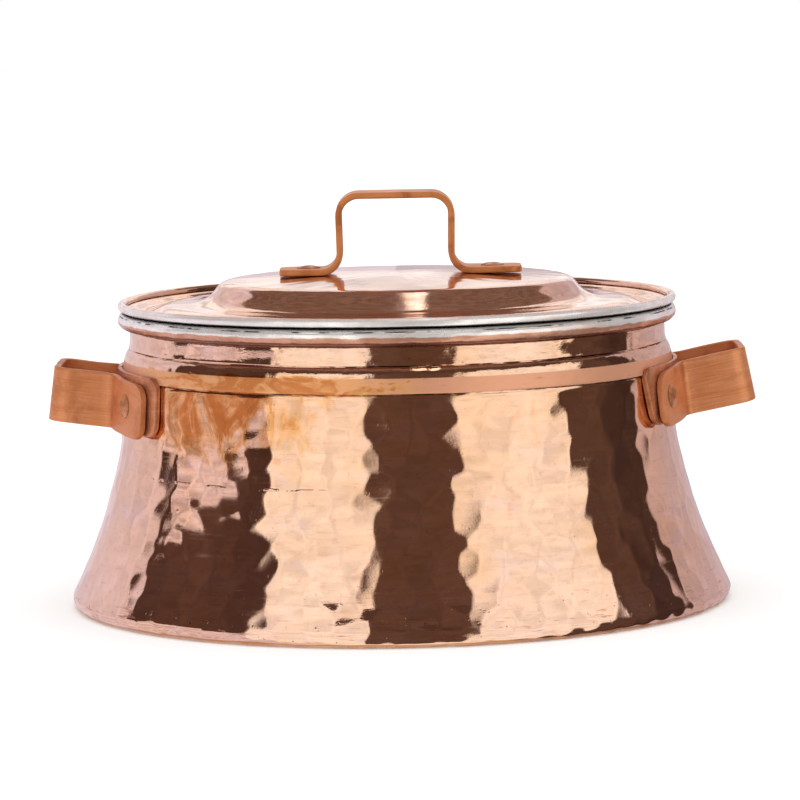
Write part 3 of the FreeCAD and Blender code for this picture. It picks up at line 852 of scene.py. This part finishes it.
def tinned_rim():
    """The rolled edges of pot and lid: wiped tin outside, bare copper above the lid's, below the rim's;
    painted shade under the roll and in the gap.
    """
    material, shader, position = metal("tinned_rim", 0.62, 0.3)
    _, height, lie = around_pot(position)
    blotch = lie.stretched((1.0, 2.5, 1.0)).noise(70.0, 4.0, 0.6, 0.5)
    tin = blotch.step(0.38, 0.72).blend((0.94, 0.92, 0.89), (0.80, 0.76, 0.73))
    tin = lie.noise(38.0).step(0.50, 0.66, 0.0, 0.5).blend(tin, (0.86, 0.64, 0.56))

    level = lie.stretched((1.0, 1.5, 1.0)).noise(110.0, 4.0, 0.6) * -0.0020 + height
    under = blotch.step(0.4, 0.6).blend((0.68, 0.36, 0.25), (0.54, 0.26, 0.16))
    colour = level.step(0.1227, 0.1221).blend(tin, under)
    # Painted shade: the darkest brown on the lowest part of the roll, where it tucks over the neck
    colour = level.step(0.1206, 0.1200).blend(colour, (0.20, 0.075, 0.05))
    colour = level.step(0.1297, 0.1302).blend(colour, (0.90, 0.66, 0.60))

    dirt = lie.stretched((1.0, 8.0, 1.0)).noise(130.0).step(0.63, 0.74)
    colour = (dirt * 0.4).blend(colour, (0.16, 0.12, 0.11))
    # Painted shade and shadow: near-black in the scored groove, and in the gap between the rim's roll and
    # the lid's lip
    score = dark_line(lie, height, 0.1257, 0.00035, 0.46, 0.58)
    lid_gap_shadow = dark_line(lie, height, 0.1273, 0.00095, 0.05, 0.15)
    colour = score.math("MAXIMUM", lid_gap_shadow).blend(colour, (0.035, 0.03, 0.03))
    finish_metal(shader, colour, blotch.step(0.3, 0.7, 0.20, 0.40), lie.noise(230.0).bump(0.00006))
    return material


def tin_lining():
    """Wiped tin: pale grey, with swirled wipe marks and duller clouds."""
    material, shader, position = metal("tin_lining")
    cloud = position.noise(24.0, 5.0, 0.6, 0.6)
    colour = cloud.step(0.35, 0.7).blend((0.78, 0.76, 0.73), (0.58, 0.56, 0.54))
    wipe = position.stretched((3.0, 30.0, 30.0), (0.0, 0.0, 0.7)).noise(14.0)
    colour = wipe.step(0.55, 0.75, 0.0, 0.35).blend(colour, (0.86, 0.84, 0.80))
    finish_metal(shader, colour, cloud.step(0.3, 0.75, 0.20, 0.42), (wipe * 0.4 + cloud).bump(0.00015))
    return material


def base_edge_copper():
    """Bare worn copper of the base and its corner: orange, dull, scuffed."""
    material, shader, position = metal("worn_base_copper")
    wear = position.noise(90.0, 4.0, 0.6, 0.4)
    colour = wear.step(0.35, 0.65).blend(ORANGE_EDGE, (0.80, 0.47, 0.27))
    scuff = position.stretched((4.0, 40.0, 4.0), (0.0, 0.0, 0.9)).noise(25.0)
    colour = scuff.step(0.55, 0.75, 0.0, 0.6).blend(colour, BROWN)
    finish_metal(shader, colour, wear.step(0.3, 0.7, 0.24, 0.42), (wear + scuff).bump(0.00008))
    return material


def lid_copper():
    """The lid's upper side: polished, pinkish, with fine wiping marks."""
    material, shader, position = metal("polished_lid_copper")
    haze = position.noise(30.0, 4.0, 0.6, 0.6)
    colour = haze.step(0.5, 0.8, 0.0, 0.5).blend(copper_colour(position), (0.80, 0.45, 0.27))
    colour = (pit_mask(position, 380.0) * 0.5).blend(colour, BROWN)
    fine = scratch_height(position, 1.1).bump(0.000006)
    soft = position.noise(110.0).bump(0.00006, fine)
    finish_metal(shader, colour, haze.step(0.35, 0.8, 0.05, 0.17), soft)
    return material


# Bar colours: main, its second tone, the brushed lines and the stains
BAR_TONES = ((0.70, 0.270, 0.110), (0.62, 0.210, 0.075), (0.80, 0.39, 0.21), (0.44, 0.150, 0.055))
LID_BAR_TONES = ((0.74, 0.28, 0.095), (0.68, 0.22, 0.06), (0.84, 0.40, 0.18), (0.42, 0.12, 0.03))


def brushed_copper(name, tones, shift):
    """Flat bar finished with an abrasive along its length. Needs the bar's own UV map."""
    material, shader, position = metal(name, 0.58, 0.3)
    put(0.4, shader.inputs["Anisotropic"])
    bar = position.node("UVMap", {}, uv_map="bar")
    main, second, brushed, stained = tones
    lines = bar.stretched((1.0, 55.0, 1.0)).noise(45.0 + shift, 4.0, 0.65)
    wide = bar.stretched((1.0, 9.0, 1.0)).noise(40.0 + shift)
    cloud = position.noise(70.0, 4.0, 0.6, 0.4)
    colour = wide.step(0.35, 0.7).blend(main, second)
    colour = lines.step(0.40, 0.72, 0.0, 0.55).blend(colour, brushed)
    colour = cloud.step(0.50, 0.70, 0.0, 0.7).blend(colour, stained)
    normal = cloud.bump(0.0002, lines.bump(0.00006))
    finish_metal(shader, colour, lines.step(0.3, 0.75, 0.32, 0.50), normal)
    return material


def plate_copper():
    """The backing plates: duller and redder than the bar."""
    material, shader, position = metal("backing_plate_copper", 0.7)
    wear = position.noise(80.0, 4.0, 0.6, 0.5)
    colour = wear.step(0.35, 0.65).blend((0.66, 0.28, 0.14), (0.48, 0.17, 0.075))
    fine = position.stretched((1.0, 1.0, 12.0)).noise(120.0)
    colour = fine.step(0.5, 0.75, 0.0, 0.5).blend(colour, (0.80, 0.42, 0.24))
    finish_metal(shader, colour, wear.step(0.3, 0.7, 0.25, 0.42), (wear + fine).bump(0.00012))
    return material


def rivet_copper():
    """Rivet heads: hammered over, with small flats."""
    material, shader, position = metal("hammered_rivet_copper", 0.62)
    flats = position.node("TexVoronoi", {"Vector": position, "Scale": 420.0}, "Distance")
    wear = position.noise(320.0)
    colour = wear.step(0.35, 0.65).blend((0.70, 0.31, 0.15), (0.42, 0.15, 0.06))
    finish_metal(shader, colour, wear.step(0.3, 0.7, 0.28, 0.46), flats.bump(0.0003))
    return material


def wire_steel():
    """Drawn steel wire, zinc coated, with a dull spangle."""
    material, shader, position = metal("galvanised_wire")
    spangle = position.noise(260.0)
    colour = spangle.step(0.35, 0.65).blend((0.52, 0.53, 0.55), (0.36, 0.37, 0.39))
    finish_metal(shader, colour, spangle.step(0.3, 0.7, 0.30, 0.48), spangle.bump(0.00005))
    return material


# -------------------- studio

WHITE = (1.12, 1.09, 1.06)
DARK = (0.105, 0.060, 0.048)
DUSK = (0.21, 0.135, 0.115)
PALE_LEFT = (0.80, 0.70, 0.78)
PALE_RIGHT = (0.60, 0.50, 0.55)

# The reflector screen stands on a circle of 1 m around the pot: (azimuth in degrees from -Y towards +X,
# light). Between two stops the light changes evenly.
SCREEN_STOPS = [
    (-180, PALE_LEFT), (-104.5, PALE_LEFT), (-103, (0.085, 0.045, 0.037)), (-78, (0.115, 0.062, 0.048)),
    (-51, (0.080, 0.042, 0.035)), (-49.4, (1.08, 1.03, 0.98)), (-30, WHITE), (-12, (1.08, 1.02, 0.97)),
    (-10.4, (0.13, 0.075, 0.06)), (6, (0.115, 0.066, 0.052)), (20, (0.125, 0.072, 0.058)),
    (21.6, (1.06, 1.0, 0.94)), (42, WHITE), (65, (1.06, 1.02, 0.98)), (66.6, (0.100, 0.058, 0.048)),
    (84, (0.115, 0.068, 0.055)), (97, (0.055, 0.033, 0.030)), (110, (0.07, 0.042, 0.037)),
    (111.5, PALE_RIGHT), (180, PALE_RIGHT),
]
SCREEN_BOTTOM, SCREEN_TOP = -2.00, 1.30

# Smaller panels in front of the screen: name, azimuths from and to, lower and upper height in metres,
# distance and light.
PANELS = [
    ("glow_left", -97, -66, SCREEN_BOTTOM, 0.29, 0.98, PALE_LEFT),
    ("glow_left_low", -112, -49.6, SCREEN_BOTTOM, 0.115, 0.975, PALE_LEFT),
    ("rear_glow", 160, 200, 0.20, 0.80, 0.98, (1.0, 0.95, 0.97)),
    ("rear_dark", 88, 272, 0.80, 1.30, 0.97, DUSK),
    ("front_dark", -88, 88, 0.80, 1.30, 0.97, DARK),
]


def clouded_light(name, colour):
    """A light that is a little uneven over its panel."""
    material, light, position = shaded(name, "Emission", {})
    cloud = position.stretched((1.0, 1.0, 2.5)).noise(8.0, 5.0, 0.7)
    dim, bright = (tuple(share * part for part in colour) for share in (0.62, 1.32))
    put(cloud.step(0.34, 0.66).blend(dim, bright), light.inputs["Color"])
    return material


def screen_light():
    """Light of the screen by azimuth. Some edges lean: they move sideways with height."""
    material, light, position = shaded("reflector_screen", "Emission", {})
    azimuth, height, _ = around_pot(position)
    degrees = azimuth * (180 / math.pi)
    lean = degrees.step(5.0, 66.0, 0.0, 30.0) + degrees.step(78.0, 112.0, 0.0, -26.0)
    lean = (lean + degrees.step(-30.0, -50.0, 0.0, -5.0)) * height.math("MAXIMUM", 0.0)
    share = (degrees - lean + 180.0).math("DIVIDE", 360.0)
    ramp = new_node(material.node_tree, "ValToRGB", {0: share})
    stops = ramp.color_ramp.elements
    stops[0].color, stops[1].color = (*SCREEN_STOPS[0][1], 1.0), (*SCREEN_STOPS[-1][1], 1.0)
    for degree, colour in SCREEN_STOPS[1:-1]:
        stops.new((degree + 180) / 360).color = (*colour, 1.0)
    clouds = {0: Value(ramp.outputs[0]), "Scale": position.noise(7.0).step(0.3, 0.7, 0.84, 1.10)}
    put(position.node("VectorMath", clouds, operation="SCALE"), light.inputs["Color"])
    return material


def only_in_reflections(made):
    for ray in ("camera", "diffuse", "shadow", "transmission", "volume_scatter"):
        setattr(made, "visible_" + ray, False)


def make_panel(name, start_deg, end_deg, bottom, top, distance, material):
    """A curved upright panel around the Z axis, seen only in reflections."""
    steps = int(abs(end_deg - start_deg) / 2) + 2
    vertices, faces = [], []
    for degrees in np.linspace(start_deg, end_deg, steps):
        azimuth = math.radians(degrees)
        for height in (bottom, top):
            vertices.append((distance * math.sin(azimuth), -distance * math.cos(azimuth), height))
    for k in range(steps - 1):
        faces.append((2 * k, 2 * k + 2, 2 * k + 3, 2 * k + 1))
    only_in_reflections(new_object("panel_" + name, vertices, faces, [material]))


def make_screens():
    make_panel("screen", -180, 180, SCREEN_BOTTOM, SCREEN_TOP, 1.0, screen_light())
    for name, start, end, bottom, top, distance, colour in PANELS:
        make_panel(name, start, end, bottom, top, distance, clouded_light("panel_" + name, colour))


CEILING = 1.30
# Overhead: a dark panel, and under it one long bright window that narrows to the rear: corners (x, y)
CEILING_PANELS = [
    ("ceiling_dark", CEILING, DUSK, [(-1.05, -1.05), (1.05, -1.05), (1.05, 1.05), (-1.05, 1.05)]),
    ("ceiling_window", CEILING - 0.02, (1.7, 1.6, 1.55),
     [(0.11, -0.95), (0.31, -0.95), (0.095, 0.70), (0.035, 0.70)]),
]


def make_ceiling():
    """The overhead panels, which the lid's slope reflects."""
    for name, height, colour, corners in CEILING_PANELS:
        vertices = [(x, y, height) for x, y in corners]
        only_in_reflections(new_object(name, vertices, [(0, 1, 2, 3)], [clouded_light(name, colour)]))


def make_floor():
    half = 9.0
    corners = [(-half, -half, 0), (half, -half, 0), (half, half, 0), (-half, half, 0)]
    material, _, _ = shaded("studio_floor", "BsdfPrincipled", {
        "Base Color": (0.93, 0.93, 0.93), "Roughness": 0.9, "Specular IOR Level": 0.0,
        "Emission Color": (1.0, 1.0, 1.0), "Emission Strength": 0.12,
    })
    floor = new_object("studio_floor", corners, [(0, 1, 2, 3)], [material])
    floor.visible_glossy = False


def make_light():
    world = bpy.data.worlds.new("studio")
    bpy.context.scene.world = world
    world.use_nodes = True
    sky = world.node_tree.nodes["Background"]
    sky.inputs["Color"].default_value = (1.0, 1.0, 1.0, 1.0)
    sky.inputs["Strength"].default_value = 1.0
    lamp = bpy.data.lights.new("overhead_softbox", "SUN")
    lamp.energy = 0.6
    lamp.angle = math.radians(120)
    softbox = bpy.data.objects.new("overhead_softbox", lamp)
    softbox.rotation_euler = (math.radians(12), 0.0, 0.0)
    softbox.visible_glossy = False
    bpy.context.scene.collection.objects.link(softbox)


def make_camera():
    """Looks at the pot from the front and a little above, rolled by about a degree."""
    distance, elevation, roll = 1.866, math.radians(6.659), math.radians(1.072)
    data = bpy.data.cameras.new("camera")
    data.sensor_width = 36.0
    data.lens = 194.2
    data.shift_x = 0.0020
    data.clip_start = 0.05
    data.clip_end = 60.0
    camera = bpy.data.objects.new("camera", data)
    place = Vector((0, -math.cos(elevation), math.sin(elevation))) * distance + Vector((0, 0, 0.060))
    aim = elevation - math.radians(0.794)
    forward = Vector((0, math.cos(aim), -math.sin(aim)))
    right = Vector((1, 0, 0))
    up = right.cross(forward)
    camera_x = right * math.cos(roll) - up * math.sin(roll)
    camera_y = up * math.cos(roll) + right * math.sin(roll)
    turn = Matrix((camera_x, camera_y, -forward)).transposed()
    camera.matrix_world = Matrix.Translation(place) @ turn.to_4x4()
    bpy.context.scene.collection.objects.link(camera)
    bpy.context.scene.camera = camera


# -------------------- everything together

def dress_cad_node(name, material):
    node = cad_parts[name]
    node.data.materials.clear()
    node.data.materials.append(material)


def make_pieces():
    wall, tin, rim = hammered_copper(), tin_lining(), tinned_rim()
    make_pot_body([wall, tin, rim, banded_copper(), base_edge_copper()])
    top = lid_copper()
    make_lid([top, tin, rim, top])
    make_lid_handle(brushed_copper("brushed_bail_copper", LID_BAR_TONES, 3.0))
    bar = brushed_copper("brushed_bar_copper", BAR_TONES, 0.0)
    plate = plate_copper()
    for seed, side in ((41, "left"), (42, "right")):
        make_side_handle(side, bar, seed)
        make_plate(side, plate)
    steel = wire_steel()
    dress_cad_node("rim_wire", steel)
    dress_cad_node("lid_edge_wire", steel)
    rivet = rivet_copper()
    for name in ("left_front_rivet", "left_rear_rivet", "right_front_rivet", "right_rear_rivet",
                 "lid_left_rivet", "lid_right_rivet"):
        dress_cad_node(name, rivet)


make_camera()
make_floor()
make_screens()
make_ceiling()
make_light()
make_pieces()
bpy.context.scene.view_settings.view_transform = "Standard"

bpy.context.view_layer.update()
